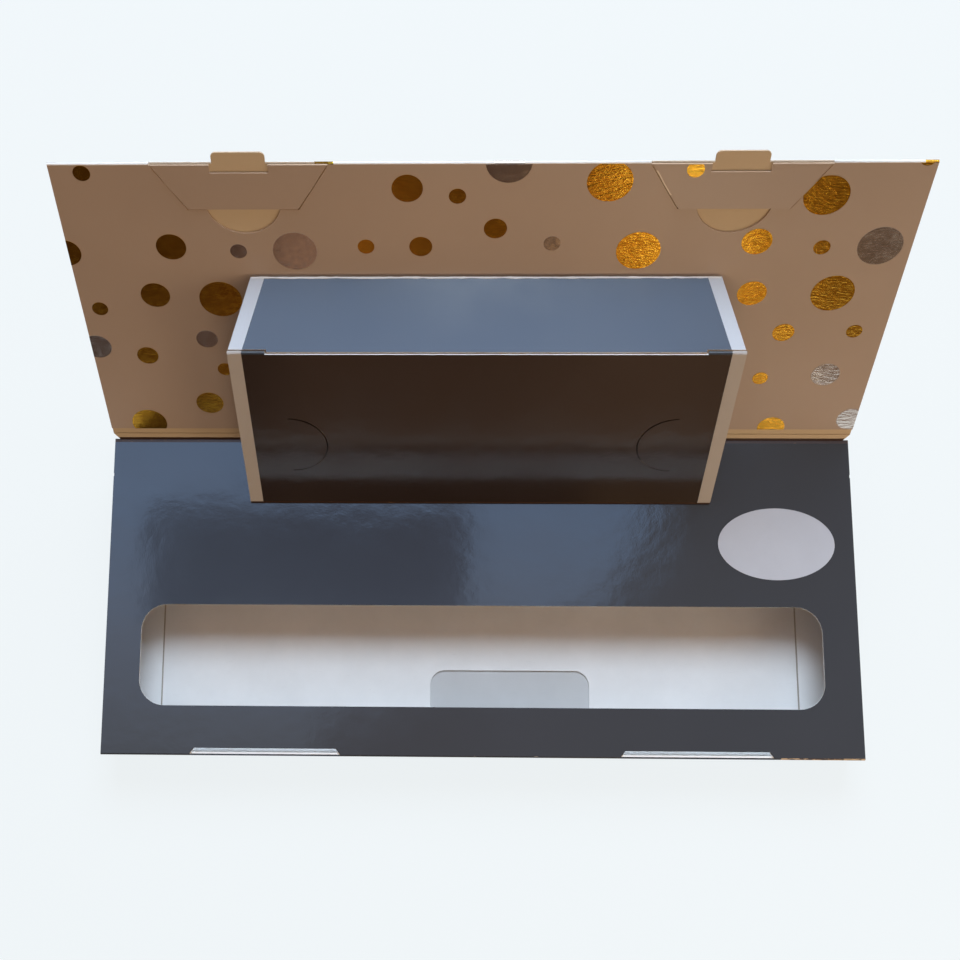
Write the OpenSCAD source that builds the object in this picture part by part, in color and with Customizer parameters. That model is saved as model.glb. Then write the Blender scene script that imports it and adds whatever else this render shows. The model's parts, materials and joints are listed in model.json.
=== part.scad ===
// Folding gift card holder of boxboard: a shallow windowed tray, a lid on a narrow spine,
// and a pop-up card stand that folds flat between them. Shown open, as on a table.
// X runs left to right, Y from front to back, Z up. The origin is the centre of the underside.

/* [Board] */
// Thickness of the folding boxboard
board = 0.45; // [0.35:0.05:0.55]
// Running gap left at creases and between pieces that fold past each other
gap = 0.3; // [0.2:0.05:0.4]

/* [Base box] */
// Width of the box, left to right
box_w = 205; // [195:1:240]
// Depth of the box, front to back
box_d = 87; // [85:1:110]
// Height of the base box
box_h = 15; // [14.5:0.5:30]

/* [Window] */
// Board left between the window and each end of the box
window_side = 9.7; // [6:0.1:16]
// Board left between the window and the front edge
window_front = 13.2; // [9:0.1:14]
// Depth of the window, front to back
window_d = 27.3; // [20:0.1:30]
// Corner radius of the window
window_r = 7; // [3:0.5:9]

/* [Floor] */
// Width of the thumb notch in the floor liner
notch_w = 44.5; // [25:0.5:60]
// Reach of the thumb notch from the front of the box
notch_d = 23.2; // [15:0.1:30]
// Shift of the thumb notch to the right of the middle
notch_shift = 8.8; // [-20:0.1:20]
// Corner radius of the thumb notch
notch_r = 4; // [1:0.5:6]
// Length of the glue flaps that lie on the floor at each end
end_flap = 12.5; // [8:0.5:18]

/* [Closure] */
// Distance from each end of the box to the middle of its closure
closure_side = 44.5; // [38:0.5:60]
// Width of a tuck flap at its root
flap_root_w = 41; // [36:0.5:46]
// Width of a tuck flap at its end
flap_end_w = 26; // [20:0.5:32]
// Length of a tuck flap
flap_len = 11.7; // [9:0.1:12.5]
// Widening of a front slot on each side from its back to the front edge
slot_flare = 1.5; // [0.5:0.1:3]
// Width of a lock tongue on the lid's front edge
tongue_w = 12.5; // [8:0.5:16]
// How far a lock tongue stands out from the lid's front edge
tongue_out = 2.5; // [1.5:0.1:4]
// Corner radius of a lock tongue
tongue_r = 1.2; // [0.4:0.1:1.4]
// Width of the half-moon finger cut below a tuck flap
moon_w = 17.5; // [12:0.5:22]
// Depth of the half-moon finger cut
moon_d = 7; // [5:0.1:8]

/* [Lid and spine] */
// Width of the spine strip between the base and the lid
spine_h = 3; // [2.8:0.1:6]
// Corner cut at the lower ends of the spine strip
spine_chamfer = 1.6; // [0.5:0.1:2]
// Angle between the base top and the lid in the open pose
lid_open = 125; // [110:1:135]
// Bare strip between the lid's crease and the printed liner
liner_start = 2; // [1:0.1:4]

/* [Pop-up stand] */
// Width of the pop-up's front panel
popup_w = 127; // [112:1:150]
// Width of the pop-up's top panel where it meets the lid
popup_back_w = 116.5; // [100:0.5:127]
// Height of the pop-up's front panel, from foot to fold
popup_front_h = 55.5; // [50:0.5:60]
// Distance of the foot crease from the back edge of the base
popup_foot = 18; // [16:0.5:22]
// How much lower on the lid the top panel is fixed than the front panel is high
popup_lead = 1.5; // [0.5:0.1:3]
// Length of the glue flaps that hold the pop-up
popup_glue = 9.5; // [6:0.5:12]
// Length of the slit along the fold between front and top panel
fold_slit_w = 108.4; // [95:0.1:109]

/* [Card slits] */
// Distance between the straight sides of the two card slits
card_pitch = 101; // [96:0.5:104]
// Radius of a half-moon card slit
card_r = 9.8; // [7:0.1:12]
// Height of the card slits above the foot
card_height = 23.3; // [20:0.1:28]
// Width of the cut line of a card slit
card_cut = 0.3; // [0.2:0.05:0.5]

/* [Amount field] */
// Width of the oval amount field
amount_w = 31.8; // [20:0.1:34]
// Depth of the oval amount field
amount_d = 19.8; // [12:0.1:20]
// Distance of the oval's middle from the right end of the box
amount_side = 21.1; // [18:0.1:26]
// Distance of the oval's middle from the back edge
amount_y = 29.2; // [20:0.1:34]

/* [Foil dots] */
// Diameter of the smallest foil dots
dot_tiny = 4.1; // [2:0.1:5]
// Diameter of the small foil dots
dot_small = 5.6; // [4:0.1:7]
// Diameter of the medium foil dots
dot_medium = 7.4; // [6:0.1:9]
// Diameter of the large foil dots
dot_large = 10.8; // [9:0.1:12]

/* [Hidden] */
$fn = 64;
sides = [-1, 1];
slate = "#454e5c";
cream = "#e3d3bd";
raw_white = "#eceae6";
raw_grey = "#b9bdbf";
half = board / 2;
foil = 0.06;             // thickness of the foil dots
ink = 0.08;              // thickness of the white oval
flap_lift = 0.1;         // a tuck flap lies this far off the lid's outer panel
glue_cut = 4;            // corner cut of the glue flaps
nick = 0.5;              // size of the die nicks in the ends of the top panel
nick_y = 10.3;           // distance of the nicks from the back edge
notch_depth = 2;         // depth of the notch that a tongue leaves in its tuck flap
front = -box_d / 2;
back = box_d / 2;
floor_top = 2 * board;
under_top = box_h - board;
inner_front = front + 2 * board;
inner_end = box_w / 2 - board;
window_w = box_w - 2 * window_side;

// Places in side view are [y, z] pairs. An angle turns from straight back (0) to straight up (90).
function dir(a) = [cos(a), sin(a)];
function normal(a) = [-sin(a), cos(a)];
function angle_of(v) = atan2(v[1], v[0]);

// The lid ends just behind the front edge, where its tuck flaps meet the slots of the base.
flap_axis = box_d - 3 * board - gap;
closure_x = box_w / 2 - closure_side;
lid_h = flap_axis + 1.5 * board;
flap_z = board + flap_lift;
liner_face = 1.5 * board;
flap_at_slot = flap_root_w - (flap_root_w - flap_end_w) * (spine_h - board) / flap_len;
slot_w = flap_at_slot + 2 * gap;
slot_depth = 3 * board + 2 * gap;

// Creases of the spine and the lid.
lid_dir = 180 - lid_open;
crease_base = [back - half, box_h - half];
crease_lid = crease_base + spine_h * dir(lid_dir);

// The pop-up is a four-bar: base, front panel, top panel and lid. Its top panel gets the length
// that lets both panels lie flat between the lid and the base when the lid is shut.
popup_attach = popup_front_h - popup_lead;
fold_offset = half + gap / 2;
back_gap = 1.5 * gap;    // the top panel's back edge comes closer to the liner halfway
back_reach = liner_face + half + back_gap;
foot_point = [back - popup_foot, box_h + gap + half];
back_point = crease_lid + popup_attach * dir(lid_dir) + back_reach * normal(lid_dir);
shut_fold = foot_point + [-popup_front_h, fold_offset];
shut_back = crease_base + [-popup_attach, spine_h - back_reach];
front_bar = norm([popup_front_h, fold_offset]);
top_bar = norm(shut_back - shut_fold);
popup_top_len = sqrt(top_bar * top_bar - fold_offset * fold_offset);
foot_to_back = back_point - foot_point;
span = norm(foot_to_back);
apex = acos((front_bar * front_bar + span * span - top_bar * top_bar) / (2 * front_bar * span));
front_line = angle_of(foot_to_back) + apex;
fold_point = foot_point + front_bar * dir(front_line);
front_dir = front_line + atan2(fold_offset, popup_front_h);
top_dir = angle_of(back_point - fold_point) - atan2(fold_offset, popup_top_len);
fold_r = half + fold_offset;
fold_clear = sqrt(pow(fold_r + gap / 3, 2) - pow(fold_offset - half, 2));

// Foil dots on the lid, seen from inside: place across from the middle as a percentage of half the
// width, place up from the crease as a percentage of the height, and diameter. Past 100 they lie
// over the front fold, on the outer face.
gold_dots = [[-92.5, 97, dot_tiny], [-18.5, 92, dot_medium], [-7, 89.5, dot_tiny],
    [-75, 73, dot_medium], [-100.5, 71, dot_medium], [-28.5, 73, dot_tiny], [-15.5, 73, dot_small],
    [-81, 56, dot_medium], [-65, 54.5, dot_large], [-95.5, 51, dot_tiny], [-86, 33, dot_small],
    [-66.5, 27.5, dot_tiny], [-72, 13.5, dot_medium], [-89.3, 4.8, 1.3 * dot_medium],
    [27.5, 94, dot_large],
    [2, 79, dot_small], [36, 71.5, dot_large], [77, 89.5, dot_large], [63.5, 74.5, dot_medium],
    [79, 72.5, dot_tiny], [65, 56.5, dot_medium], [84.5, 56.5, dot_large], [75, 42, dot_small],
    [92.5, 42.5, dot_tiny], [72, 24, dot_tiny], [78, 3.3, dot_medium], [97.5, 101, dot_tiny],
    [-43, 44, dot_large], [-21.5, 28, dot_medium], [8, 38.5, dot_large], [30, 14, dot_medium],
    [46, 42, dot_small], [-49, 11.5, dot_small], [-6, 10.5, dot_tiny], [-39, 105, dot_large]];
silver_dots = [[-59, 71.5, dot_tiny], [-45.5, 71.5, dot_large], [-98.5, 36.5, dot_medium],
    [-70, 39.5, dot_small], [4.5, 100, dot_large], [15.5, 74, dot_tiny], [92.5, 73, dot_large],
    [88.5, 25.5, dot_medium], [98.5, 7, dot_medium], [-28.5, 51, dot_small], [23.5, 31.5, dot_tiny],
    [50.5, 23, dot_large], [-33, 13, dot_medium]];
// The foil dot on the right tuck flap: place across from the flap's middle, place from its root.
flap_dot = [-10.5, -1.3];
dot_repeat = 104;        // the pattern comes back after this percentage of the lid's height

// Moves a piece drawn in its own plane to a crease: its Y runs away from the crease.
module at_crease(point, angle) {
    translate([0, point[0], point[1]]) rotate([angle, 0, 0]) children();
}

module sheet(z0, thickness) {
    translate([0, 0, z0]) linear_extrude(thickness) children();
}

module rod(x0, x1, point, r) {
    translate([x0, point[0], point[1]]) rotate([0, 90, 0]) cylinder(r = r, h = x1 - x0);
}

module block(x0, x1, y0, y1, z0, z1) {
    translate([x0, y0, z0]) cube([x1 - x0, y1 - y0, z1 - z0]);
}

module rounded_rect(w, d, r) {
    square([w - 2 * r, d], center = true);
    square([w, d - 2 * r], center = true);
    for (x = sides, y = sides) translate([x * (w / 2 - r), y * (d / 2 - r)]) circle(r = r);
}

// A glue flap with cut corners, from the crease at y = 0 to its free edge at y = depth.
module glue_flap(w, depth, cut) {
    polygon([[-w / 2, 0], [w / 2, 0], [w / 2 - cut, depth], [cut - w / 2, depth]]);
}

// The outline of a tuck flap, its root at y = 0 and its end towards -Y, grown by a margin.
module flap_outline(margin) {
    root = flap_root_w / 2 + margin;
    end = flap_end_w / 2 + margin;
    polygon([[-root, half + margin], [root, half + margin], [root, 0],
        [end, -flap_len - margin], [-end, -flap_len - margin], [-root, 0]]);
}

// The opening in the liner for a tuck flap and the half-moon finger cut under it.
module flap_opening() {
    flap_outline(gap);
    translate([0, -flap_len]) intersection() {
        translate([0, moon_r() - moon_d]) circle(r = moon_r());
        translate([-moon_w / 2, -moon_d]) square([moon_w, moon_d]);
    }
}

function moon_r() = (moon_w * moon_w / 4 + moon_d * moon_d) / (2 * moon_d);

module at_closures() {
    for (side = sides) translate([side * closure_x, 0]) children();
}

// Front slot of the base top, its wide side on the front edge at y = 0.
module slot_outline() {
    w = slot_w / 2;
    polygon([[-w - slot_flare, -1], [w + slot_flare, -1], [w + slot_flare, 0],
        [w, slot_depth], [-w, slot_depth], [-w - slot_flare, 0]]);
}

module base_bottom_panel() {
    color(raw_grey) block(-box_w / 2, box_w / 2, front, back, 0, board);
}

module floor_liner() {
    notch_back = front + notch_d;
    color(raw_white) sheet(board, board) difference() {
        translate([-inner_end, inner_front]) square([2 * inner_end, back - board - inner_front]);
        translate([notch_shift, notch_back - notch_d]) rounded_rect(notch_w, 2 * notch_d, notch_r);
    }
}

// Front wall, with its top edge lowered by a board's thickness so that the slots show its raw edge.
module base_front_wall() {
    color(slate) block(-box_w / 2, box_w / 2, front, front + board, board, under_top);
}

module front_wall_lining() {
    color(raw_white) block(-inner_end, inner_end, front + board, inner_front, board, under_top);
}

module base_back_wall() {
    color(slate) block(-box_w / 2, box_w / 2, back - board, back, board, under_top);
}

module end_wall(side) {
    x = side * (box_w / 2 - half);
    color(slate) block(x - half, x + half, front + board, back - board, board, under_top);
}

module base_left_end_wall() {
    end_wall(-1);
}

module base_right_end_wall() {
    end_wall(1);
}

// Glue flap of an end wall, folded in over the floor liner.
module end_glue_flap(side) {
    color(raw_white) translate([side * inner_end, 0, 0]) rotate([0, 0, side * 90])
        sheet(floor_top, board) glue_flap(2 * (back - board - 2 * gap), end_flap, glue_cut);
}

module left_end_glue_flap() {
    end_glue_flap(-1);
}

module right_end_glue_flap() {
    end_glue_flap(1);
}

module base_top_panel() {
    color(slate) difference() {
        union() {
            block(-box_w / 2, box_w / 2, front + board, crease_base[0], under_top, box_h);
            rod(-box_w / 2, box_w / 2, crease_base, half);
            intersection() {
                rod(-box_w / 2, box_w / 2, [front + board, under_top], board);
                block(-box_w / 2, box_w / 2, front, front + board, under_top, box_h);
            }
        }
        sheet(0, 2 * box_h) {
            translate([0, front + window_front + window_d / 2])
                rounded_rect(window_w, window_d, window_r);
            translate([0, front]) at_closures() slot_outline();
            for (side = sides) translate([side * box_w / 2, back - nick_y]) circle(r = nick, $fn = 4);
        }
    }
}

// Flap of the back wall, glued under the top panel.
module back_glue_flap() {
    color(raw_white) translate([0, back - board, 0]) mirror([0, 1, 0])
        sheet(under_top - board, board) glue_flap(2 * inner_end - 2, popup_glue, glue_cut);
}

// Glue flap of the pop-up's front panel, on the base top inside the stand.
module popup_foot_flap() {
    color(raw_white) translate([0, foot_point[0] + half + 2 * gap, 0])
        sheet(box_h, board) glue_flap(popup_w - 2, popup_glue, glue_cut);
}

module amount_field() {
    step = 5;
    color("white") translate([box_w / 2 - amount_side, back - amount_y, 0]) sheet(box_h, ink)
        polygon([for (a = [0 : step : 360 - step]) [amount_w / 2 * cos(a), amount_d / 2 * sin(a)]]);
}

module spine_strip() {
    w = box_w / 2;
    y0 = half + gap / 3;
    y1 = spine_h - half - gap / 3;
    color(cream) at_crease(crease_base, lid_dir) sheet(-half, board)
        polygon([[spine_chamfer - w, y0], [w - spine_chamfer, y0], [w, y1], [-w, y1]]);
}

module tongue_outline() {
    reach = board + tongue_out;
    translate([-tongue_w / 2, 0]) square([tongue_w, reach - tongue_r]);
    translate([tongue_r - tongue_w / 2, 0]) square([tongue_w - 2 * tongue_r, reach]);
    for (x = sides) translate([x * (tongue_w / 2 - tongue_r), reach - tongue_r]) circle(r = tongue_r);
}

// Outer panel of the lid, with the crease to the spine and the two lock tongues.
module lid_outer_panel() {
    fold_y = lid_h - board;
    color(cream) at_crease(crease_lid, lid_dir) {
        block(-box_w / 2, box_w / 2, 0, fold_y, -half, half);
        rod(-box_w / 2, box_w / 2, [0, 0], half);
        at_closures() translate([0, fold_y, 0]) sheet(-half, board) tongue_outline();
    }
}

// Rounded front edge of the lid, where the board folds over from the outer panel to the liner. The
// tongues and the tuck flaps leave it in three lengths.
module lid_front_fold() {
    fold_y = lid_h - board;
    cut_w = flap_root_w / 2 + gap;
    color(cream) at_crease(crease_lid, lid_dir) difference() {
        intersection() {
            rod(-box_w / 2, box_w / 2, [fold_y, half], board);
            block(-box_w / 2, box_w / 2, fold_y, lid_h, -half, liner_face);
        }
        at_closures() {
            block(-cut_w, cut_w, fold_y - 1, lid_h + 1, half, 2 * board);
            block(-tongue_w / 2, tongue_w / 2, fold_y - 1, lid_h + 1, -board, board);
        }
    }
}

module liner_outline() {
    difference() {
        translate([-box_w / 2, liner_start]) square([box_w, lid_h - board - liner_start]);
        translate([0, flap_axis]) at_closures() flap_opening();
    }
}

// Printed inner layer of the lid.
module lid_liner() {
    color(cream) at_crease(crease_lid, lid_dir) sheet(half, board) liner_outline();
}

module back_flap_outline() {
    translate([0, popup_attach - half - 2 * gap]) mirror([0, 1])
        glue_flap(popup_back_w - 2, popup_glue, glue_cut);
}

// Glue flap of the pop-up's top panel, on the liner under the panel.
module popup_back_flap() {
    color(raw_white) at_crease(crease_lid, lid_dir) sheet(liner_face, board) back_flap_outline();
}

// The dots of the board before it is folded, from the crease over the front fold and down again.
module dot_circles(dots) {
    for (dot = dots, y = [dot[1], dot[1] + dot_repeat])
        translate([dot[0] / 100 * box_w / 2, y / 100 * lid_h]) circle(d = dot[2]);
}

// Dots of foil on both faces of the lid, cut off at the edges and where the glue flap covers the
// liner. The pattern runs on over the front fold, so the outer face shows its next length.
module foil_dots(dots) {
    at_crease(crease_lid, lid_dir) {
        sheet(liner_face, foil) intersection() {
            difference() {
                liner_outline();
                back_flap_outline();
            }
            dot_circles(dots);
        }
        sheet(-half - foil, foil) intersection() {
            translate([-box_w / 2, 0]) square([box_w, lid_h - board]);
            translate([0, 2 * lid_h]) mirror([0, 1]) dot_circles(dots);
        }
    }
}

module gold_foil_dots() {
    color("goldenrod") foil_dots(gold_dots);
}

module silver_foil_dots() {
    color("silver") foil_dots(silver_dots);
}

// Cut line of a card slit: an arc that bulges towards the middle of the panel.
module card_slit(side) {
    translate([side * card_pitch / 2, card_height]) difference() {
        circle(r = card_r + card_cut / 2);
        circle(r = card_r - card_cut / 2);
        translate([side > 0 ? 0 : -2 * card_r, -2 * card_r]) square([2 * card_r, 4 * card_r]);
    }
}

// Front panel of the pop-up, creased at its foot and, on both sides of the slit, at its top fold.
module popup_front_panel() {
    w = popup_w / 2;
    color("#2b2420") at_crease(foot_point, front_dir) {
        sheet(-half, board) difference() {
            translate([-w, 0]) square([popup_w, popup_front_h]);
            for (side = sides) card_slit(side);
        }
        rod(-w, w, [0, 0], half);
        for (x = [-w, fold_slit_w / 2])
            rod(x, x + w - fold_slit_w / 2, [popup_front_h, -fold_offset], fold_r);
    }
}

// Top panel of the pop-up: it narrows towards the lid, and its corners clear the fold's rounds.
module popup_top_panel() {
    w = popup_w / 2;
    back_w = popup_back_w / 2;
    color(slate) at_crease(fold_point, top_dir) translate([0, 0, fold_offset]) {
        sheet(-half, board) difference() {
            polygon([[-w, 0], [w, 0], [back_w, popup_top_len], [-back_w, popup_top_len]]);
            for (x = [-w - 1, fold_slit_w / 2 - gap])
                translate([x, -1]) square([w + 1 + gap - fold_slit_w / 2, 1 + fold_clear]);
        }
        rod(-back_w, back_w, [popup_top_len, 0], half);
    }
}

// A tuck flap lies in the liner's plane and turns about its root on the lid's front edge.
module tuck_flap(side) {
    notch_w = tongue_w + 2 * gap;
    color(cream) at_crease(crease_lid, lid_dir) translate([side * closure_x, flap_axis, flap_z]) {
        difference() {
            union() {
                sheet(-half, board) flap_outline(-half);
                rod(-flap_root_w / 2, flap_root_w / 2, [0, 0], half);
            }
            block(-notch_w / 2, notch_w / 2, -notch_depth, 1, -board, board);
        }
    }
}

module tuck_flap_left() {
    tuck_flap(-1);
}

module tuck_flap_right() {
    tuck_flap(1);
}

module tuck_flap_foil_dot() {
    color("gold") at_crease(crease_lid, lid_dir) translate([closure_x, flap_axis, flap_z + half])
        sheet(0, foil) intersection() {
            translate(flap_dot) circle(d = dot_tiny);
            flap_outline(-half);
        }
}

base_bottom_panel();
floor_liner();
base_front_wall();
front_wall_lining();
base_back_wall();
base_left_end_wall();
base_right_end_wall();
left_end_glue_flap();
right_end_glue_flap();
base_top_panel();
back_glue_flap();
popup_foot_flap();
amount_field();
spine_strip();
lid_outer_panel();
lid_front_fold();
lid_liner();
popup_back_flap();
gold_foil_dots();
silver_foil_dots();
popup_front_panel();
popup_top_panel();
tuck_flap_left();
tuck_flap_right();
tuck_flap_foil_dot();
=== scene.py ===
import json
import math

import bmesh
import bpy
from mathutils import Matrix, Vector, noise


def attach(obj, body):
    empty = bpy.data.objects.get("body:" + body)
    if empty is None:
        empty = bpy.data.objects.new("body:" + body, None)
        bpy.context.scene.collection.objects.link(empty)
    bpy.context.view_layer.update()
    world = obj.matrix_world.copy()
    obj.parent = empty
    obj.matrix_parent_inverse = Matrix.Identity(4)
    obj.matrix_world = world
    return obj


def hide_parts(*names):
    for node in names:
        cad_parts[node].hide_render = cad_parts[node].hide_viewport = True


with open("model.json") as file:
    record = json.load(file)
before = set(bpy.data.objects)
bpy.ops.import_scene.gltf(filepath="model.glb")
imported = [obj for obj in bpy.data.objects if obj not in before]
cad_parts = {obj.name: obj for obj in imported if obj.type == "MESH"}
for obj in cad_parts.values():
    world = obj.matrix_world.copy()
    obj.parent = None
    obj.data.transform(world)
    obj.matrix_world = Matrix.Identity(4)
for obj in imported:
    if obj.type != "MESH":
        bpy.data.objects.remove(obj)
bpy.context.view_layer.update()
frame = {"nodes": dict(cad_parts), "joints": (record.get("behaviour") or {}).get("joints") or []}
nodes = frame["nodes"]
joints = {joint["name"]: Vector(joint["pos_m"]) for joint in frame["joints"]}
scene = bpy.context.scene
mm = 0.001  # metres

# the standpoint of the photograph, in millimetres and pixels
photo = {
    "place": (-12.01, -25.13, 358.98),
    "right": (0.99972, 0.00669, -0.02284),
    "down": (0.00261, -0.98475, -0.17396),
    "forward": (-0.02366, 0.17385, -0.98449),
    "focal": 1250,
    "centre": (406.6, 466.8),
    "pixels": 960,
    "sensor": 36,
    "clipStart": 0.01,  # metres
}


def makeCamera():
    data = bpy.data.cameras.new("camera")
    data.sensor_width = photo["sensor"]
    data.lens = photo["sensor"] * photo["focal"] / photo["pixels"]
    middle = photo["pixels"] / 2
    data.shift_x = (middle - photo["centre"][0]) / photo["pixels"]
    data.shift_y = (photo["centre"][1] - middle) / photo["pixels"]
    data.clip_start = photo["clipStart"]
    camera = bpy.data.objects.new("camera", data)
    scene.collection.objects.link(camera)
    axes = (photo["right"], -Vector(photo["down"]), -Vector(photo["forward"]))
    turn = Matrix(axes).transposed()
    camera.matrix_world = Matrix.Translation(Vector(photo["place"]) * mm) @ turn.to_4x4()
    scene.camera = camera


makeCamera()
print("camera placed")

# light: a pale window behind the lid, and a dim warm room with two soft lamps in front of it,
# which don't show in reflections
light = {
    "skyColour": (0.872, 0.920, 0.942),
    "roomColour": (1.0, 0.65, 0.40),
    "roomLevel": 0.28,
    "warmColour": (1.0, 0.80, 0.58),
    "aim": Vector((0, 0, 0.02)),
}
lamps = {
    "window_lamp": {"place": (0.05, 0.69, 0.75), "size": 0.66, "watts": 12.6,
                    "colour": (0.69, 0.84, 1.0), "inGloss": True},
    "side_lamp": {"place": (0.25, -0.21, 0.10), "size": 0.20, "watts": 0.30,
                  "colour": light["warmColour"], "inGloss": False},
    "front_lamp": {"place": (0.10, -0.62, 0.19), "size": 0.34, "watts": 0.78,
                   "colour": light["warmColour"], "inGloss": False},
}
seenRays = ("Is Camera Ray", "Is Glossy Ray", "Is Transmission Ray")


# rays of the given kinds meet the shown shader, and all others the usual one
def showTo(tree, rayKinds, usual, shown):
    path = tree.nodes.new("ShaderNodeLightPath")
    chosen = path.outputs[rayKinds[0]]
    for kind in rayKinds[1:]:
        either = tree.nodes.new("ShaderNodeMath")
        either.operation = "MAXIMUM"
        tree.links.new(chosen, either.inputs[0])
        tree.links.new(path.outputs[kind], either.inputs[1])
        chosen = either.outputs[0]
    mix = tree.nodes.new("ShaderNodeMixShader")
    tree.links.new(chosen, mix.inputs["Fac"])
    tree.links.new(usual, mix.inputs[1])
    tree.links.new(shown, mix.inputs[2])
    return mix.outputs[0]


def addBackground(tree, colour, strength):
    background = tree.nodes.new("ShaderNodeBackground")
    background.inputs["Color"].default_value = (*colour, 1)
    background.inputs["Strength"].default_value = strength
    return background.outputs[0]


def makeWorld():
    world = bpy.data.worlds.new("studio")
    scene.world = world
    world.use_nodes = True
    tree = world.node_tree
    tree.nodes.clear()
    room = addBackground(tree, light["roomColour"], light["roomLevel"])
    sky = addBackground(tree, light["skyColour"], 1)
    out = tree.nodes.new("ShaderNodeOutputWorld")
    tree.links.new(showTo(tree, seenRays, room, sky), out.inputs["Surface"])


def makeLamp(name, place, size, watts, colour, inGloss):
    data = bpy.data.lights.new(name, "AREA")
    data.shape = "DISK"
    data.size = size
    data.energy = watts
    data.color = colour
    lamp = bpy.data.objects.new(name, data)
    scene.collection.objects.link(lamp)
    lamp.location = place
    lamp.visible_glossy = inGloss
    lamp.rotation_euler = (light["aim"] - Vector(place)).to_track_quat("-Z", "Y").to_euler()


makeWorld()
for lampName, lampSet in lamps.items():
    makeLamp(lampName, **lampSet)
scene.view_settings.view_transform = "Standard"


# materials
def newMaterial(name, **sockets):
    material = bpy.data.materials.new(name)
    material.use_nodes = True
    tree = material.node_tree
    shader = tree.nodes["Principled BSDF"]
    for key, value in sockets.items():
        socket = shader.inputs[key.replace("_", " ")]
        socket.default_value = (*value, 1) if isinstance(value, tuple) else value
    return material, tree, shader


def addNoise(tree, scale, detail=4.0, roughness=0.55, stretch=(1, 1, 1)):
    coords = tree.nodes.new("ShaderNodeTexCoord")
    mapping = tree.nodes.new("ShaderNodeMapping")
    mapping.inputs["Scale"].default_value = stretch
    texture = tree.nodes.new("ShaderNodeTexNoise")
    texture.inputs["Scale"].default_value = scale
    texture.inputs["Detail"].default_value = detail
    texture.inputs["Roughness"].default_value = roughness
    tree.links.new(coords.outputs["Object"], mapping.inputs["Vector"])
    tree.links.new(mapping.outputs["Vector"], texture.inputs["Vector"])
    return texture.outputs["Fac"]


def addRamp(tree, source, stops):
    ramp = tree.nodes.new("ShaderNodeValToRGB")
    while len(ramp.color_ramp.elements) < len(stops):
        ramp.color_ramp.elements.new(0.5)
    for element, (place, colour) in zip(ramp.color_ramp.elements, stops):
        element.position = place
        element.color = (*colour, 1) if isinstance(colour, tuple) else (colour, colour, colour, 1)
    tree.links.new(source, ramp.inputs["Fac"])
    return ramp.outputs["Color"]


def scaled(colour, share):
    return tuple(channel * share for channel in colour)


# the colour in two shades, spread over a noise
def addCloud(tree, source, colour, span, shares):
    stops = [(place, scaled(colour, share)) for place, share in zip(span, shares)]
    return addRamp(tree, source, stops)


def addAxis(tree, axis):
    coords = tree.nodes.new("ShaderNodeTexCoord")
    apart = tree.nodes.new("ShaderNodeSeparateXYZ")
    tree.links.new(coords.outputs["Object"], apart.inputs[0])
    return apart.outputs[axis]


def addSpread(tree, source, span, result=(0, 1), curve="LINEAR"):
    spread = tree.nodes.new("ShaderNodeMapRange")
    spread.interpolation_type = curve
    for key, value in zip(("From Min", "From Max", "To Min", "To Max"), (*span, *result)):
        spread.inputs[key].default_value = value
    tree.links.new(source, spread.inputs["Value"])
    return spread.outputs[0]


def addBump(tree, shader, source, strength, distance):
    bump = tree.nodes.new("ShaderNodeBump")
    bump.inputs["Strength"].default_value = strength
    bump.inputs["Distance"].default_value = distance
    tree.links.new(source, bump.inputs["Height"])
    earlier = shader.inputs["Normal"].links
    if earlier:
        tree.links.new(earlier[0].from_socket, bump.inputs["Normal"])
    tree.links.new(bump.outputs["Normal"], shader.inputs["Normal"])
    return bump


def addMix(tree, factor, first, second):
    mix = tree.nodes.new("ShaderNodeMix")
    mix.data_type = "RGBA"
    tree.links.new(factor, mix.inputs["Factor"])
    for socket, colour in ((mix.inputs["A"], first), (mix.inputs["B"], second)):
        if isinstance(colour, tuple):
            socket.default_value = (*colour, 1)
        else:
            tree.links.new(colour, socket)
    return mix.outputs["Result"]


# glossy lacquered print on board, with the faint orange peel of the lacquer
lacquer = {
    "cloud": (14, 3),
    "cloudSpan": (0.3, 0.7),
    "cloudShares": (0.88, 1.12),
    "rubs": (45, 6, 0.65),
    "rubSpan": (0.35, 0.8),
    "rubGain": 1.7,
    "waves": ((60, 2, 0.0006), (420, 3, 0.00012)),  # scale, detail, depth
    "grain": (2600, 2),
    "grainStrength": 0.12,
    "grainDepth": 0.00003,
}


def makePrint(name, colour, gloss, peel, shine=0.5):
    material, tree, shader = newMaterial(name, Specular_IOR_Level=shine)
    cloud = addNoise(tree, *lacquer["cloud"])
    tree.links.new(addCloud(tree, cloud, colour, lacquer["cloudSpan"], lacquer["cloudShares"]),
                   shader.inputs["Base Color"])
    rubStops = list(zip(lacquer["rubSpan"], (gloss, gloss * lacquer["rubGain"])))
    tree.links.new(addRamp(tree, addNoise(tree, *lacquer["rubs"]), rubStops),
                   shader.inputs["Roughness"])
    for scale, detail, depth in lacquer["waves"]:
        addBump(tree, shader, addNoise(tree, scale, detail), peel, depth)
    addBump(tree, shader, addNoise(tree, *lacquer["grain"]), lacquer["grainStrength"],
            lacquer["grainDepth"])
    return material


# the print where the board is folded or rubbed: the ink cracks and the raw board shows
worn = {
    "shine": 0.4,
    "roughness": 0.4,
    "chips": (900, 6, 0.7, (0.35, 1, 1)),
    "chipEdge": 0.03,
    "crumbs": (1500, 4),
    "crumbStrength": 0.4,
    "crumbDepth": 0.00008,
}


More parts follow.
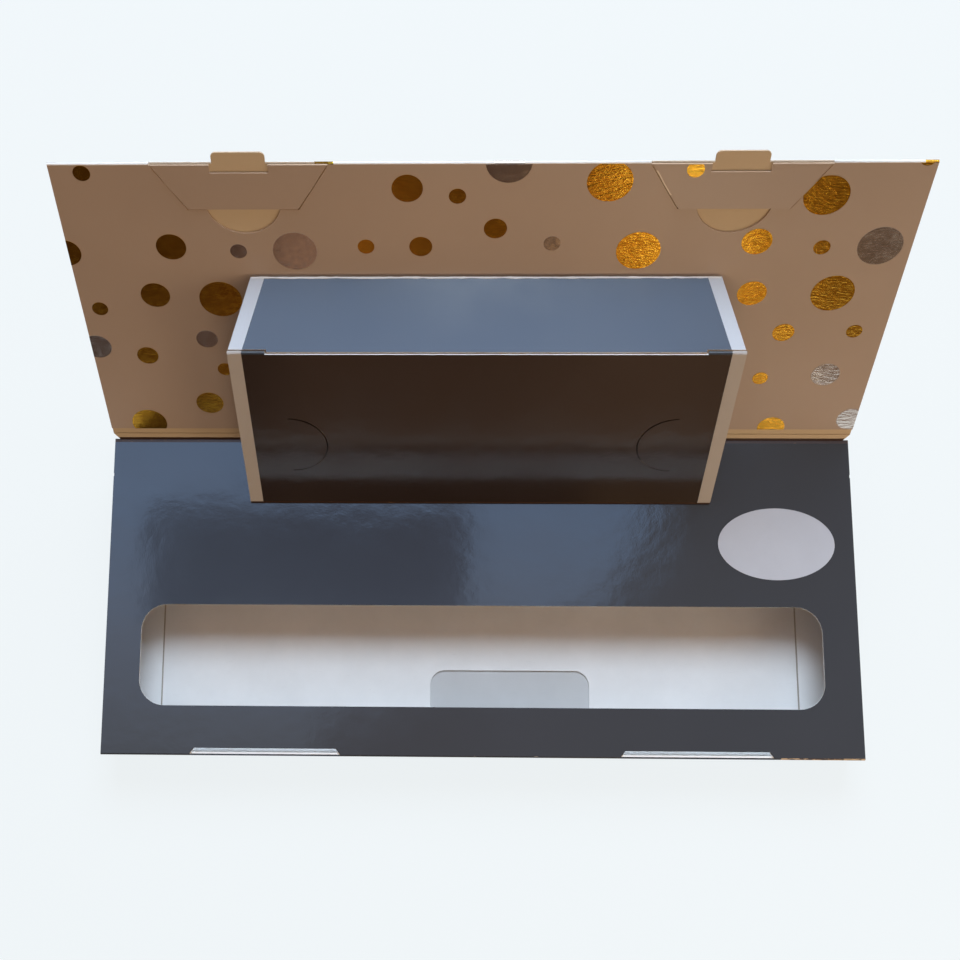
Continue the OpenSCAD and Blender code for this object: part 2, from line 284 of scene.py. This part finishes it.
def makeWornPrint(name, colour, raw, amount):
    material, tree, shader = newMaterial(name, Specular_IOR_Level=worn["shine"],
                                         Roughness=worn["roughness"])
    chips = addRamp(tree, addNoise(tree, *worn["chips"]),
                    [(1 - amount - worn["chipEdge"], 0.0), (1 - amount, 1.0)])
    tree.links.new(addMix(tree, chips, colour, raw), shader.inputs["Base Color"])
    addBump(tree, shader, addNoise(tree, *worn["crumbs"]), worn["crumbStrength"],
            worn["crumbDepth"])
    return material


# unprinted board: clouded, with pressed fibres
board = {
    "shine": 0.25,
    "roughness": 0.78,
    "cloud": (45, 7, 0.62),
    "cloudSpan": (0.25, 0.75),
    "cloudShares": (0.93, 1.04),
    "fibres": (1600, 3, 0.7, (0.25, 1, 1)),
    "fibreStops": [(0.62, 0.0), (0.78, 0.35)],
    "fibreShare": 0.86,
    "felt": (2400, 5, 0.6, (0.4, 1, 1)),
    "feltDepth": 0.00006,
}


def makeBoard(name, colour, grain=0.3):
    material, tree, shader = newMaterial(name, Specular_IOR_Level=board["shine"],
                                         Roughness=board["roughness"])
    cloud = addNoise(tree, *board["cloud"])
    clouded = addCloud(tree, cloud, colour, board["cloudSpan"], board["cloudShares"])
    fibres = addRamp(tree, addNoise(tree, *board["fibres"]), board["fibreStops"])
    tree.links.new(addMix(tree, fibres, clouded, scaled(colour, board["fibreShare"])),
                   shader.inputs["Base Color"])
    addBump(tree, shader, addNoise(tree, *board["felt"]), grain, board["feltDepth"])
    return material


# satin print on the lid
satin = {
    "shine": 0.45,
    "roughness": 0.34,
    "cloud": (18, 4),
    "cloudSpan": (0.3, 0.7),
    "cloudShares": (0.96, 1.04),
    "bumps": ((45, 0.25, 0.0008), (1800, 0.10, 0.00005)),  # scale, strength, depth
    "bumpDetail": 3,
}


def makeSatin(name, colour):
    material, tree, shader = newMaterial(name, Specular_IOR_Level=satin["shine"],
                                         Roughness=satin["roughness"])
    cloud = addNoise(tree, *satin["cloud"])
    tree.links.new(addCloud(tree, cloud, colour, satin["cloudSpan"], satin["cloudShares"]),
                   shader.inputs["Base Color"])
    for scale, strength, depth in satin["bumps"]:
        addBump(tree, shader, addNoise(tree, scale, satin["bumpDetail"]), strength, depth)
    return material


# hot-stamped foil: it takes the board's grain, lies smooth on the lid's left side and crinkles
# finely on its right
foil = {
    "cloud": (420, 4, 0.6, (0.4, 1, 1)),
    "cloudSpan": (0.3, 0.6),
    "rubs": (700, 3),
    "rubStops": [(0.3, 0.13), (0.7, 0.24)],
    "fine": (1700, 3, 0.6, (0.3, 1, 1)),
    "fineDepth": 0.00016,
    "calmShare": 0.3,
    "calmSpan": (-0.045, 0.03),
    "coarse": (260, 2, 0.5, (0.6, 1, 1)),
    "coarseStrength": 0.1,
    "coarseDepth": 0.0004,
}


def makeFoil(name, colour, dark, crinkle):
    material, tree, shader = newMaterial(name, Metallic=1.0)
    cloudStops = list(zip(foil["cloudSpan"], (dark, colour)))
    tree.links.new(addRamp(tree, addNoise(tree, *foil["cloud"]), cloudStops),
                   shader.inputs["Base Color"])
    tree.links.new(addRamp(tree, addNoise(tree, *foil["rubs"]), foil["rubStops"]),
                   shader.inputs["Roughness"])
    fine = addBump(tree, shader, addNoise(tree, *foil["fine"]), crinkle, foil["fineDepth"])
    strength = addSpread(tree, addAxis(tree, "X"), foil["calmSpan"],
                         (crinkle * foil["calmShare"], crinkle))
    tree.links.new(strength, fine.inputs["Strength"])
    addBump(tree, shader, addNoise(tree, *foil["coarse"]), foil["coarseStrength"],
            foil["coarseDepth"])
    return material


slate = makePrint("slate_print", (0.029, 0.034, 0.043), gloss=0.085, peel=0.16)
# the stand's top takes the base's slate print made lighter: painted light on the top face
litSlateTop = makePrint("slate_print_top_painted_light", (0.059, 0.067, 0.083), gloss=0.12, peel=0.10)
darkPrint = makePrint("dark_print", (0.0265, 0.0175, 0.0140), gloss=0.11, peel=0.12, shine=0.9)
wornSlate = makeWornPrint("worn_slate", (0.030, 0.033, 0.040), (0.42, 0.34, 0.26), amount=0.34)
foldSlate = makeWornPrint("folded_slate", (0.030, 0.034, 0.042), (0.30, 0.28, 0.26), amount=0.22)
# near-black brown at the folds: cracked ink, and painted shade in the creases along the base's back
# edge, the spine and the stand's foot
wornFoldAndShade = makeWornPrint("worn_fold_and_painted_shade", (0.045, 0.020, 0.011), (0.12, 0.06, 0.03), amount=0.35)
rubbedSlate = makeWornPrint("rubbed_slate", (0.050, 0.028, 0.018), (0.50, 0.34, 0.19), amount=0.47)
whiteBoard = makeBoard("white_board", (0.84, 0.84, 0.84))
greyBoard = makeBoard("grey_board", (0.58, 0.59, 0.60))
rawCream = makeBoard("raw_cream_board", (0.59, 0.47, 0.32))
creamPrint = makeSatin("cream_print", (0.435, 0.338, 0.272))
creamEdge = makeBoard("cream_edge", (0.62, 0.47, 0.34))
paleEdge = makeBoard("pale_edge", (0.78, 0.68, 0.56))
# the bare white strips at the stand's ends, copies of one white board: painted shade on the
# front's, painted light on the top's
shadedFrontStrip = makeBoard("front_strip_painted_shade", (0.46, 0.43, 0.41), grain=0.1)
litTopStrip = makeBoard("top_strip_painted_light", (0.63, 0.68, 0.76), grain=0.1)
# a brighter white board: the raw white of cut edges, torn fibres and cracked folds, and painted
# highlight on the lid's folded front edge, the front slots' lining and the base's cut edges
whiteBoardAndHighlight = makeBoard("white_board_and_painted_highlight", (0.90, 0.91, 0.91), grain=0.4)
creaseShade = makeBoard("crease_shade", (0.42, 0.38, 0.33), grain=0.4)
whiteInk = makeBoard("white_ink", (0.53, 0.55, 0.61), grain=0.08)
goldFoil = makeFoil("gold_foil", (0.90, 0.50, 0.06), dark=(0.80, 0.42, 0.045), crinkle=0.75)
# a darker copy of the gold foil: a painted dark reflection on the left sliver round the lid's front
# edge
darkReflectedGold = makeFoil("gold_foil_painted_dark_reflection", (0.42, 0.27, 0.04), dark=(0.22, 0.13, 0.02), crinkle=0.5)
silverFoil = makeFoil("silver_foil", (0.84, 0.77, 0.70), dark=(0.76, 0.69, 0.62), crinkle=0.4)
print("materials made")


# floor and studio cards
stageSet = {
    "floorReach": 3,
    "floorLevel": 0.0001,
    "floorRoughness": 0.9,
    "floorShine": 0.1,
    "floorBounce": (0.42, 0.35, 0.28),
    "floorGlow": 0.925,
    "floorShown": 0.085,
    "floorFade": (0.25, 0.55),
    "cardShine": 5.2,
}


# four corners: the reach in x, then y and z along the two edges
def band(reach, near, far):
    left, right = reach
    return [(left, *near), (right, *near), (right, *far), (left, *far)]


# a card's glow runs through its stops along one axis
cards = {
    "front_card": {
        "corners": band((-0.3, 0.3), (-0.105, 0), (-0.115, 0.045)),
        "along": "X",
        "stops": [
            (-0.16, (0.05, 0.032, 0.026)), (-0.09, (0.085, 0.05, 0.036)),
            (-0.06, (0.21, 0.12, 0.078)), (0.0, (0.21, 0.12, 0.078)),
            (0.075, (0.31, 0.18, 0.11)), (0.104, (0.29, 0.17, 0.10)),
            (0.118, (0.16, 0.095, 0.06)), (0.148, (0.14, 0.085, 0.055)),
            (0.17, (0.22, 0.13, 0.08)),
        ],
    },
    "wall_card": {
        "corners": band((-0.3, 0.3), (-0.115, 0.045), (-0.12, 0.107)),
        "along": "X",
        "stops": [
            (-0.16, (0.04, 0.022, 0.017)), (-0.09, (0.05, 0.028, 0.02)),
            (-0.066, (0.27, 0.155, 0.10)), (-0.036, (0.16, 0.085, 0.055)),
            (-0.015, (0.08, 0.045, 0.032)), (0.036, (0.08, 0.045, 0.03)),
            (0.056, (0.72, 0.42, 0.20)), (0.112, (0.66, 0.38, 0.19)),
            (0.135, (0.12, 0.075, 0.045)), (0.175, (0.08, 0.05, 0.034)),
            (0.19, (0.34, 0.29, 0.24)),
        ],
    },
    "spark_card": {
        "corners": band((0.081, 0.101), (-0.1155, 0.093), (-0.1155, 0.122)),
        "along": "X",
        "stops": [(0.08, (4.7, 4.9, 4.0)), (0.10, (4.7, 4.9, 4.0))],
    },
    "glint_card": {
        "corners": band((0.102, 0.113), (-0.045, 0.016), (-0.045, 0.026)),
        "along": "X",
        "stops": [(0.10, (3.4, 3.1, 2.6)), (0.12, (3.4, 3.1, 2.6))],
    },
    "upper_card": {
        "corners": band((-0.4, 0.4), (-0.12, 0.107), (-0.20, 0.34)),
        "along": "X",
        "stops": [(-0.2, (0.03, 0.018, 0.013)), (0.2, (0.08, 0.048, 0.03))],
    },
    "low_card": {
        "corners": band((-0.172, 0.006), (0.008, 0.36), (0.074, 0.36)),
        "along": "X",
        "stops": [(-0.17, (0.55, 0.68, 1.0)), (0.0, (0.60, 0.66, 0.92))],
    },
    "sky_card": {
        "corners": [
            (-0.42, -0.12, 1), (-0.139, -0.12, 1), (-0.124, -0.044, 1), (0.173, 0.06, 1),
            (0.22, 0.149, 1), (0.227, 0.245, 1), (0.34, 0.30, 1), (0.34, 0.44, 1),
            (-0.42, 0.44, 1),
        ],
        "along": "Y",
        "stops": [
            (-0.12, (1.12, 1.14, 1.22)), (0.01, (1.62, 1.88, 2.5)),
            (0.17, (1.72, 2.5, 3.95)), (0.40, (1.8, 2.6, 4.1)),
        ],
    },
    "ceiling_card": {
        "corners": band((-0.3, 0.9), (-0.5, 1.02), (0.28, 1.02)),
        "along": "X",
        "stops": [(0.0, (0.70, 0.60, 0.58)), (0.3, (0.66, 0.60, 0.60))],
    },
}


def linkPiece(name, bm, looks=()):
    mesh = bpy.data.meshes.new(name)
    bm.to_mesh(mesh)
    bm.free()
    for look in looks:
        mesh.materials.append(look)
    piece = bpy.data.objects.new(name, mesh)
    scene.collection.objects.link(piece)
    return piece


def stagePiece(name, corners):
    bm = bmesh.new()
    bm.faces.new([bm.verts.new(Vector(corner)) for corner in corners])
    piece = linkPiece(name, bm)
    return piece


def glowShader(tree, colour):
    glow = tree.nodes.new("ShaderNodeEmission")
    glow.inputs["Color"].default_value = (*colour, 1)
    return glow.outputs[0]


# the floor keeps the shadow near the object and runs into the pale background farther out;
# it lies just above the base's underside, so that the two never share a plane
def makeFloor():
    reach, level = stageSet["floorReach"], stageSet["floorLevel"]
    floor = stagePiece("floor", band((-reach, reach), (-reach, level), (reach, level)))
    material, tree, shader = newMaterial("pale_floor", Roughness=stageSet["floorRoughness"],
                                         Specular_IOR_Level=stageSet["floorShine"],
                                         Base_Color=stageSet["floorBounce"])
    shown = tree.nodes.new("ShaderNodeBsdfDiffuse")
    shown.inputs["Color"].default_value = (*scaled(light["skyColour"], stageSet["floorShown"]), 1)
    near = tree.nodes.new("ShaderNodeAddShader")
    tree.links.new(shown.outputs[0], near.inputs[0])
    tree.links.new(glowShader(tree, scaled(light["skyColour"], stageSet["floorGlow"])),
                   near.inputs[1])
    coords = tree.nodes.new("ShaderNodeTexCoord")
    away = tree.nodes.new("ShaderNodeVectorMath")
    away.operation = "LENGTH"
    tree.links.new(coords.outputs["Object"], away.inputs[0])
    fade = addSpread(tree, away.outputs["Value"], stageSet["floorFade"], curve="SMOOTHSTEP")
    faded = tree.nodes.new("ShaderNodeMixShader")
    tree.links.new(fade, faded.inputs["Fac"])
    tree.links.new(near.outputs[0], faded.inputs[1])
    tree.links.new(glowShader(tree, light["skyColour"]), faded.inputs[2])
    both = showTo(tree, seenRays, shader.outputs[0], faded.outputs[0])
    tree.links.new(both, tree.nodes["Material Output"].inputs["Surface"])
    floor.data.materials.append(material)


# a card that only shows in reflections
def makeCard(name, corners, along, stops):
    card = stagePiece(name, corners)
    material, tree = newMaterial(name)[:2]
    first, last = stops[0][0], stops[-1][0]
    shine = stageSet["cardShine"]
    shares = [((place - first) / (last - first), scaled(colour, 1 / shine))
              for place, colour in stops]
    spread = addSpread(tree, addAxis(tree, along), (first, last))
    glow = tree.nodes.new("ShaderNodeEmission")
    glow.inputs["Strength"].default_value = shine
    tree.links.new(addRamp(tree, spread, shares), glow.inputs["Color"])
    tree.links.new(glow.outputs[0], tree.nodes["Material Output"].inputs["Surface"])
    card.data.materials.append(material)
    card.visible_camera = False
    card.visible_diffuse = False
    card.visible_shadow = False
    card.visible_transmission = False


makeFloor()
for cardName, cardSet in cards.items():
    makeCard(cardName, **cardSet)
print("stage set")


# CAD nodes that keep their shape
keptLooks = {
    "base_bottom_panel": greyBoard,
    # the lining takes the brighter white: painted highlight in the front slots
    "front_wall_lining": whiteBoardAndHighlight,
    "base_front_wall": slate,
    "base_back_wall": slate,
    "base_left_end_wall": slate,
    "base_right_end_wall": slate,
    "back_glue_flap": whiteBoard,
    "popup_foot_flap": whiteBoard,
    "popup_back_flap": whiteBoard,
    "amount_field": whiteInk,
}
for nodeName, nodeLook in keptLooks.items():
    mesh = nodes[nodeName].data
    mesh.materials.clear()
    mesh.materials.append(nodeLook)


# what all panels share, in degrees and millimetres; a share is that of the normal across the board
sheet = {
    "weld": 0.001,
    "mergeAngle": 1,
    "cutAngle": 50,
    "soften": 0.07,
    "rounds": 2,
    "snap": 0.0001,
    "smoothAngle": 40,
    "flatShare": 0.995,
    "faceShare": 0.85,
}
metre = 1000  # mm
bothSides = (-1, 1)
bendSteps = range(0, 10, 2)


# the plane that a panel lies in, from its crease
def planeAt(crease, angle):
    return Matrix.Translation(joints[crease]) @ Matrix.Rotation(math.radians(angle), 4, "X")


# how far the line from one crease to the next leans back, in degrees
def leanTo(crease, following):
    line = joints[following] - joints[crease]
    return math.degrees(math.atan2(line.z, line.y))


def facesUp(face):
    return face.normal.z > sheet["faceShare"]


def facesDown(face):
    return face.normal.z < -sheet["faceShare"]


def plain(face, middle):
    return None


# cuts that part a panel's faces where its print changes or where it bends
def cutsAtX(*places):
    return [((place, 0), (1, 0)) for place in places]


def cutsAtY(*places):
    return [((0, place), (0, 1)) for place in places]


# a panel: the node's board with its cut edges softened; its three looks are those of the upper
# face, the cut edges and the lower face, and mark gives the look of a face that differs
def makePanel(name, node, body, plane, looks, mark=plain, cuts=(), soften=sheet["soften"],
              spare=None, shape=None):
    bm = bmesh.new()
    bm.from_mesh(nodes[node].data)
    bmesh.ops.remove_doubles(bm, verts=bm.verts, dist=sheet["weld"] * mm)
    bmesh.ops.transform(bm, matrix=plane.inverted(), verts=bm.verts)
    bmesh.ops.scale(bm, vec=(metre, metre, metre), verts=bm.verts)
    bmesh.ops.dissolve_limit(bm, angle_limit=math.radians(sheet["mergeAngle"]), verts=bm.verts,
                             edges=bm.edges)
    if soften:
        sharp = [edge for edge in bm.edges if edge.is_manifold
                 and edge.calc_face_angle() > math.radians(sheet["cutAngle"])
                 and not (spare and spare(edge.verts[0].co) and spare(edge.verts[1].co))]
        bmesh.ops.bevel(bm, geom=sharp, offset=soften, offset_type="OFFSET", affect="EDGES",
                        segments=sheet["rounds"], profile=0.5, material=-1, clamp_overlap=True)
    for point, across in cuts:
        bmesh.ops.bisect_plane(bm, geom=bm.verts[:] + bm.edges[:] + bm.faces[:],
                               dist=sheet["snap"], plane_co=(*point, 0), plane_no=(*across, 0))
    if shape:
        shape(bm)
    bm.normal_update()
    upper, cut, lower = looks
    palette = [upper]
    for face in bm.faces:
        usual = upper if facesUp(face) else lower if facesDown(face) else cut
        look = mark(face, face.calc_center_median()) or usual
        if look not in palette:
            palette.append(look)
        face.material_index = palette.index(look)
    bmesh.ops.scale(bm, vec=(mm, mm, mm), verts=bm.verts)
    bmesh.ops.transform(bm, matrix=plane, verts=bm.verts)
    piece = linkPiece(name, bm, palette)
    piece.data.set_sharp_from_angle(angle=math.radians(sheet["smoothAngle"]))
    flatWay = plane.to_3x3() @ Vector((0, 0, 1))
    for polygon in piece.data.polygons:
        polygon.use_smooth = abs(polygon.normal.dot(flatWay)) < sheet["flatShare"]
    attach(piece, body)
    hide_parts(node)


flatPlane = Matrix.Identity(4)

# the base's top, rubbed along its front edge, with painted shade in brown along the back crease
baseTop = {
    "halfWidth": 102.5,
    "halfDepth": 43.5,
    "backShade": 1.0,
    "frontRub": 0.45,
    "rubTilt": -0.1,
    "cornerRub": 80.2,
    "endNick": 0.55,
}


def baseMark(face, middle):
    if middle.y > baseTop["halfDepth"] - baseTop["backShade"] and not facesDown(face):
        return wornFoldAndShade
    if middle.y < baseTop["frontRub"] - baseTop["halfDepth"] and face.normal.z > baseTop["rubTilt"]:
        return rubbedSlate if middle.x > baseTop["cornerRub"] else wornSlate
    if abs(middle.x) > baseTop["halfWidth"] - baseTop["endNick"] and not facesUp(face):
        return foldSlate
    return None


baseCuts = cutsAtY(baseTop["halfDepth"] - baseTop["backShade"],
                   baseTop["frontRub"] - baseTop["halfDepth"])
baseCuts += cutsAtX(baseTop["cornerRub"])
# its cut edges take the brighter white, a painted highlight
makePanel("base_top", "base_top_panel", "base", flatPlane,
          (slate, whiteBoardAndHighlight, whiteBoard), baseMark, baseCuts)

# the tray floor is scored beside each glued end flap
tray = {
    "crease": 89.4,
    "creaseWide": 0.15,
    "creaseReach": 0.01,
    "scoreAbove": 0.8,
    "scoreDeep": 0.12,
}


def scoreTray(bm):
    for vert in bm.verts:
        onCrease = abs(abs(vert.co.x) - tray["crease"]) < tray["creaseReach"]
        if onCrease and vert.co.z > tray["scoreAbove"]:
            vert.co.z -= tray["scoreDeep"]


def trayMark(face, middle):
    inCrease = abs(abs(middle.x) - tray["crease"]) < tray["creaseWide"]
    return creaseShade if inCrease and not facesDown(face) else None


trayCuts = cutsAtX(*(way * (tray["crease"] + step * tray["creaseWide"])
                     for way in bothSides for step in (-1, 0, 1)))
makePanel("tray_floor", "floor_liner", "base", flatPlane,
          (whiteBoard, whiteBoard, whiteBoard), trayMark, trayCuts, shape=scoreTray)

# the spine, with painted shade in brown along the base's crease
spine = {"shade": 1.15, "shadeTilt": -0.3}


def spineMark(face, middle):
    return wornFoldAndShade if middle.y < spine["shade"] and face.normal.z > spine["shadeTilt"] else None


spinePlane = planeAt("spine_fold", leanTo("spine_fold", "lid_fold"))
makePanel("spine_board", "spine_strip", "spine", spinePlane,
          (rawCream, rawCream, rawCream), spineMark, cutsAtY(spine["shade"]), soften=0)
for end in ("left", "right"):
    makePanel(end + "_end_flap", end + "_end_glue_flap", "base", flatPlane,
              (whiteBoard, creaseShade, whiteBoard))
print("base finished")

# the lid: the outer sheet's dots run on round its folded front edge
lid = {"lean": 55.0, "innerSoften": 0.02}
fold = {
    "dots": (
        # the left sliver is painted darker: a painted dark reflection
        (darkReflectedGold, (-40.3, -35.9)),
        (goldFoil, (99.4, 103)),
        (silverFoil, (1.2, 8.2)),
    ),
}


def foldMark(face, middle):
    for look, (low, high) in fold["dots"]:
        if low < middle.x < high:
            return look
    return None


lidPlane = planeAt("lid_fold", lid["lean"])
foldCuts = cutsAtX(*(end for look, span in fold["dots"] for end in span))
makePanel("lid_outside", "lid_outer_panel", "lid", lidPlane,
          (rawCream, creamEdge, creamPrint))
# the lid's folded front edge is painted in the brighter white: a painted highlight where the fold
# catches the light from behind
makePanel("lid_front_edge", "lid_front_fold", "lid", lidPlane,
          (whiteBoardAndHighlight, whiteBoardAndHighlight, whiteBoardAndHighlight), foldMark, foldCuts, soften=0)
makePanel("lid_inside", "lid_liner", "lid", lidPlane,
          (creamPrint, creamEdge, creamEdge), soften=lid["innerSoften"])
makePanel("gold_dots", "gold_foil_dots", "lid", lidPlane,
          (goldFoil, goldFoil, goldFoil), soften=0)
makePanel("silver_dots", "silver_foil_dots", "lid", lidPlane,
          (silverFoil, silverFoil, silverFoil), soften=0)

# the tuck flaps fill their cut-outs closely and lie flush; the right one stands a little proud
tuck = {
    "middle": 58.0,
    "grow": 0.29,
    "growFrom": 2,
    "rootAt": 84.5,
    "reach": 11.6,
    "flush": 0.11,
    "flushRun": 6,
    "curl": 0.2,
    "soften": 0.01,
    "rubFrom": (37.46, 85.35),
    "rubAcross": (0.837, 0.547),
    "rubWide": 0.3,
    "rubEnds": (77.6, 83.8),
    "rubTilt": 0.2,
}


def curlTuck(bm):
    for vert in bm.verts:
        down = tuck["rootAt"] - vert.co.y
        if down > 0:
            vert.co.z += tuck["flush"] * min(1, down / tuck["flushRun"])
        if down > 0 and vert.co.x > 0:
            vert.co.z += tuck["curl"] * (down / tuck["reach"]) ** 2


def shapeTuck(bm):
    for vert in bm.verts:
        wider = math.copysign(tuck["grow"], abs(vert.co.x) - tuck["middle"])
        vert.co.x += wider * math.copysign(1, vert.co.x)
        if vert.co.y < tuck["rootAt"] - tuck["growFrom"]:
            vert.co.y -= tuck["grow"]
    curlTuck(bm)


def tuckMark(face, middle):
    inside = sum((value - start) * way for value, start, way in
                 zip(middle, tuck["rubFrom"], tuck["rubAcross"]))
    low, high = tuck["rubEnds"]
    rubbed = middle.x > 0 and inside < tuck["rubWide"] and low < middle.y < high
    return paleEdge if rubbed and face.normal.z > tuck["rubTilt"] else None


bendCuts = cutsAtY(*(tuck["rootAt"] - step for step in bendSteps))
rubPlace = [start + tuck["rubWide"] * way for start, way in zip(tuck["rubFrom"], tuck["rubAcross"])]
rubCuts = [((rubPlace[0] + tuck["grow"], rubPlace[1]), tuck["rubAcross"])]
rubCuts += cutsAtY(*tuck["rubEnds"])
for end, endCuts in (("left", bendCuts), ("right", bendCuts + rubCuts)):
    makePanel(end + "_tuck", "tuck_flap_" + end, end + "_tuck_flap", lidPlane,
              (creamPrint, creamEdge, rawCream), tuckMark, endCuts, soften=tuck["soften"],
              shape=shapeTuck)
makePanel("flap_dot", "tuck_flap_foil_dot", "right_tuck_flap", lidPlane,
          (goldFoil, goldFoil, goldFoil), cuts=bendCuts[:2], soften=0, shape=curlTuck)
print("lid finished")

# the stand: its front has the card slits and a bare strip at each end, its top narrows backwards
stand = {
    "frontHeight": 55.5,
    "frontHalf": 63.5,
    "topBackHalf": 58.25,
    "topLength": 19.28,
    "topLean": -0.9,
    "foldOffset": 0.375,
    "foldDeep": 1,
    "slitHalf": 54.2,
    "strip": 3.5,
    "footShade": 0.5,
    "footTilt": 0.2,
}
cardSlit = {
    "radius": 9.8,
    "hinge": 50.5,
    "height": 23.3,
    "slitReach": 0.6,
    "pastHinge": 0.1,
    "tabLift": 0.18,
    "edge": 0.05,
    "rows": range(-8, 10, 2),
}
stripInner = stand["frontHalf"] - stand["strip"]


def inCardSlit(spot):
    away = math.hypot(abs(spot.x) - cardSlit["hinge"], spot.y - cardSlit["height"])
    nearArc = abs(away - cardSlit["radius"]) < cardSlit["slitReach"]
    return nearArc and abs(spot.x) < cardSlit["hinge"] + cardSlit["pastHinge"]


def liftTabs(bm):
    for vert in bm.verts:
        reach = cardSlit["hinge"] - abs(vert.co.x)
        away = math.hypot(reach, vert.co.y - cardSlit["height"])
        if reach > cardSlit["edge"] and away < cardSlit["radius"] - cardSlit["edge"]:
            rise = math.sin(min(1, reach / cardSlit["radius"]) * math.pi / 2)
            vert.co.z += cardSlit["tabLift"] * rise


def frontMark(face, middle):
    inStrip = abs(middle.x) > stripInner
    # the slits' cut walls take the dark print in place of white board: painted shade in the slits
    if inCardSlit(middle):
        return darkPrint
    if middle.y < stand["footShade"] and face.normal.z > stand["footTilt"]:
        return wornFoldAndShade
    pastSlit = abs(middle.x) > stand["slitHalf"] + cardSlit["edge"]
    if middle.y > stand["frontHeight"] - stand["foldDeep"] and pastSlit:
        return shadedFrontStrip if inStrip else foldSlate
    return shadedFrontStrip if inStrip and facesUp(face) else None


offLine = math.degrees(math.atan2(stand["foldOffset"], stand["frontHeight"]))
frontPlane = planeAt("popup_front_fold", leanTo("popup_front_fold", "popup_top_fold") + offLine)
frontCuts = cutsAtX(*(way * stripInner for way in bothSides))
frontCuts += cutsAtX(*(way * (cardSlit["hinge"] - step) for way in bothSides for step in bendSteps))
frontCuts += cutsAtY(*(cardSlit["height"] + step for step in cardSlit["rows"]))
frontCuts += cutsAtY(stand["footShade"])
makePanel("stand_front", "popup_front_panel", "popup_front", frontPlane,
          (darkPrint, whiteBoard, whiteBoard), frontMark, frontCuts, spare=inCardSlit,
          shape=liftTabs)


def topMark(face, middle):
    taper = (stand["frontHalf"] - stand["topBackHalf"]) / stand["topLength"]
    inStrip = abs(middle.x) > stripInner - taper * middle.y
    return litTopStrip if inStrip and facesUp(face) else None


topPlane = planeAt("popup_top_fold", stand["topLean"])
taperAngle = math.atan2(stand["frontHalf"] - stand["topBackHalf"], stand["topLength"])
topCuts = [((way * stripInner, 0), (math.cos(taperAngle), way * math.sin(taperAngle)))
           for way in bothSides]
makePanel("stand_top", "popup_top_panel", "popup_top", topPlane,
          (litSlateTop, whiteBoard, whiteBoard), topMark, topCuts)

# torn fibres along the top panel's back edge, where it was nicked to fold
fringe = {
    "step": 0.7,
    "width": 0.42,
    "thick": 0.12,
    "rise": 0.19,
    "endGap": 0.3,
    "beyond": 0.12,
    "sway": 0.16,
    "swayScale": (0.45, 3),
    "lift": 0.05,
    "liftScale": 0.9,
    "seed": 7.3,
    "liftSeed": 2.0,
}


def makeFringe():
    bm = bmesh.new()
    half = stand["topBackHalf"] - fringe["endGap"]
    count = round(2 * half / fringe["step"])
    level = stand["foldOffset"] + fringe["rise"]
    line = [bm.verts.new((-half + 2 * half * i / count, 0, level)) for i in range(count + 1)]
    for first, second in zip(line, line[1:]):
        bm.edges.new((first, second))
    made = bmesh.ops.extrude_edge_only(bm, edges=bm.edges[:])
    moved = [item for item in made["geom"] if isinstance(item, bmesh.types.BMVert)]
    bmesh.ops.translate(bm, verts=moved, vec=(0, -fringe["width"], 0))
    alongScale, acrossScale = fringe["swayScale"]
    for vert in bm.verts:
        sway = noise.noise(Vector((vert.co.x * alongScale, vert.co.y * acrossScale,
                                   fringe["seed"])))
        vert.co.y += stand["topLength"] + fringe["beyond"] + fringe["sway"] * sway
        vert.co.z += fringe["lift"] * noise.noise(
            Vector((vert.co.x * fringe["liftScale"], fringe["seed"], fringe["liftSeed"])))
    bmesh.ops.recalc_face_normals(bm, faces=bm.faces)
    bmesh.ops.solidify(bm, geom=bm.faces[:], thickness=fringe["thick"])
    bmesh.ops.scale(bm, vec=(mm, mm, mm), verts=bm.verts)
    bmesh.ops.transform(bm, matrix=topPlane, verts=bm.verts)
    bmesh.ops.recalc_face_normals(bm, faces=bm.faces)
    piece = linkPiece("torn_edge", bm, [whiteBoardAndHighlight])
    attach(piece, "popup_top")


makeFringe()
print("stand finished")
